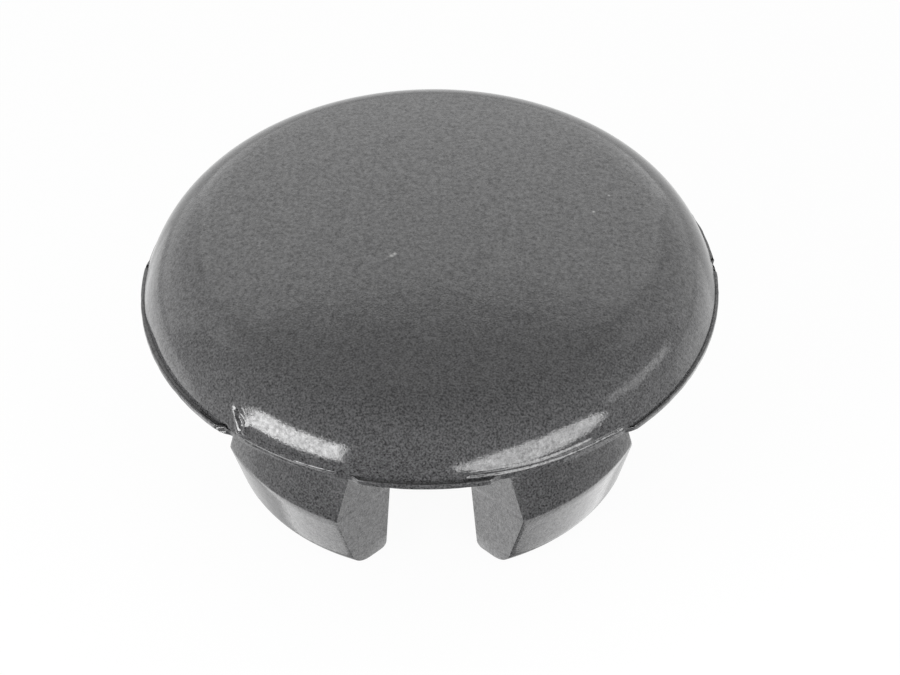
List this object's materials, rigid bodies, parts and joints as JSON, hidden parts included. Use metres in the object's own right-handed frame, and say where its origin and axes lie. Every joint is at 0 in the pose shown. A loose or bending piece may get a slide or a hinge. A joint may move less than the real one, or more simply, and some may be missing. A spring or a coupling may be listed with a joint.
{
  "type": "plastic hole plug",
  "caption": "Round dark plastic hole plug: a low domed cap over a ring of springy legs that snap into a panel's hole.",
  "frame": {"origin": "centre of the cap's flat seat, on the axis of the panel's hole", "axes": "+Z out of the panel along the plug's axis, cap up and legs down; the legs stand on the diagonals between +X, +Y, -X and -Y"},
  "size_m": [0.026, 0.026, 0.013],
  "materials": {
    "body": "satin"
  },
  "bodies": {
    "root": {"hole_plug": "body"}
  },
  "joints": []
}
